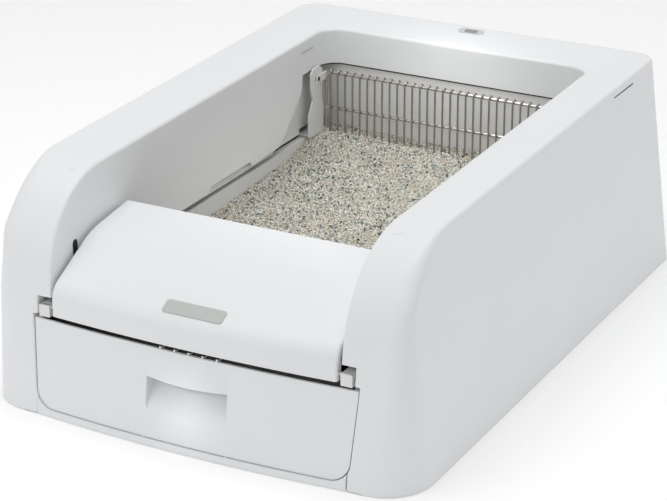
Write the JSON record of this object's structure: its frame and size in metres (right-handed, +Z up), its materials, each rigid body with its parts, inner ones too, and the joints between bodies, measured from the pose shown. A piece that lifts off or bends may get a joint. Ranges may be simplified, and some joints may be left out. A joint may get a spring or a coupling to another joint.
{
  "type": "self-raking litter box with waste drawer",
  "caption": "Open-top litter box with a high white hood, a wire rake that travels over the litter, a hinged lid and a pull-out waste drawer at the front.",
  "frame": {"origin": "on the floor, below the centre of the box", "axes": "+Z up, +Y from the drawer to the rear, +X to the right seen from the drawer"},
  "size_m": [0.4798, 0.6944, 0.2476],
  "materials": {
    "white_shell": "satin moulded",
    "pale_grey": "satin moulded",
    "black_plastic": "matt moulded",
    "litter": "granular",
    "stainless": "bright drawn wire",
    "plated_steel": "zinc plated",
    "rubber": "matt",
    "bronze": "sintered",
    "badge_grey": "satin",
    "button_grey": "satin",
    "bezel_white": "satin",
    "board_green": "solder mask",
    "filter_black": "carbon felt"
  },
  "bodies": {
    "base": {"hood": "white_shell", "base_pan": "white_shell", "litter_tray": "pale_grey", "litter_bed": "litter", "rear_housing": "pale_grey", "hinge_blocks": "pale_grey", "guide_rods": "plated_steel", "belt_right": "rubber", "belt_left": "rubber", "idler_brackets": "plated_steel", "shaft_bushes": "bronze", "motor_plate": "plated_steel", "motor": "plated_steel", "control_board": "board_green", "power_inlet": "black_plastic", "feet": "rubber", "hood_screws": "plated_steel", "sensor_lenses": "black_plastic", "rim_plugs": "white_shell", "limit_switches": "black_plastic", "button_bezel": "bezel_white", "switch_board": "board_green", "button_switch": "black_plastic", "button_dome": "rubber", "drawer_guides": "white_shell", "bay_wall": "white_shell", "rod_holders": "white_shell", "bearing_posts": "white_shell"},
    "drawer": {"drawer_front": "white_shell", "drawer_bin": "black_plastic", "liner_frame": "black_plastic", "drawer_glides": "bezel_white", "front_screws": "plated_steel"},
    "lid": {"lid": "white_shell", "lid_pins": "plated_steel", "badge_plate": "badge_grey", "filter_holder": "pale_grey", "carbon_filter": "filter_black"},
    "rake_carriage": {"slider_right": "black_plastic", "slider_left": "black_plastic", "bracket_right": "pale_grey", "bracket_left": "pale_grey", "bracket_screws": "plated_steel", "pivot_bushes": "black_plastic"},
    "rake": {"rake": "stainless"},
    "drive_shaft": {"drive_shaft": "plated_steel", "pulley_right": "black_plastic", "pulley_left": "black_plastic", "drive_gear": "bezel_white"},
    "motor_shaft": {"motor_pinion": "bronze"},
    "idlers": {"idler_right": "black_plastic", "idler_left": "black_plastic"},
    "button": {"button": "button_grey"}
  },
  "joints": [
    {"name": "drawer_slide", "type": "slide", "parent": "base", "child": "drawer", "axis": [0, -1, 0], "range_m": [0, 0.15]},
    {"name": "lid_hinge", "type": "hinge", "parent": "base", "child": "lid", "pos_m": [0, -0.3232, 0.113], "axis": [1, 0, 0], "range_deg": [0, 65]},
    {"name": "rake_travel", "type": "slide", "parent": "base", "child": "rake_carriage", "axis": [0, -1, 0], "range_m": [0, 0.27]},
    {"name": "rake_tilt", "type": "hinge", "parent": "rake_carriage", "child": "rake", "pos_m": [0, 0.2223, 0.187], "axis": [-1, 0, 0], "range_deg": [0, 64]},
    {"name": "shaft_spin", "type": "hinge", "parent": "base", "child": "drive_shaft", "pos_m": [0, 0.2903, 0.14], "axis": [-1, 0, 0], "range_deg": [-2, 1241.6]},
    {"name": "idler_spin", "type": "hinge", "parent": "base", "child": "idlers", "pos_m": [0, -0.0977, 0.14], "axis": [-1, 0, 0], "range_deg": [-2, 1241.6]},
    {"name": "motor_spin", "type": "hinge", "parent": "base", "child": "motor_shaft", "pos_m": [0, 0.2903, 0.107], "axis": [-1, 0, 0], "range_deg": [-2483.2, 2]},
    {"name": "button_press", "type": "slide", "parent": "base", "child": "button", "axis": [0, 0, -1], "range_m": [0, 0.0015], "stiffness_N_per_m": 400, "deforming": ["button_dome"]}
  ],
  "couplings": [
    {"joint": "shaft_spin", "follows": "rake_travel", "rad_per_m": 80},
    {"joint": "idler_spin", "follows": "rake_travel", "rad_per_m": 80},
    {"joint": "motor_spin", "follows": "rake_travel", "rad_per_m": -160}
  ]
}
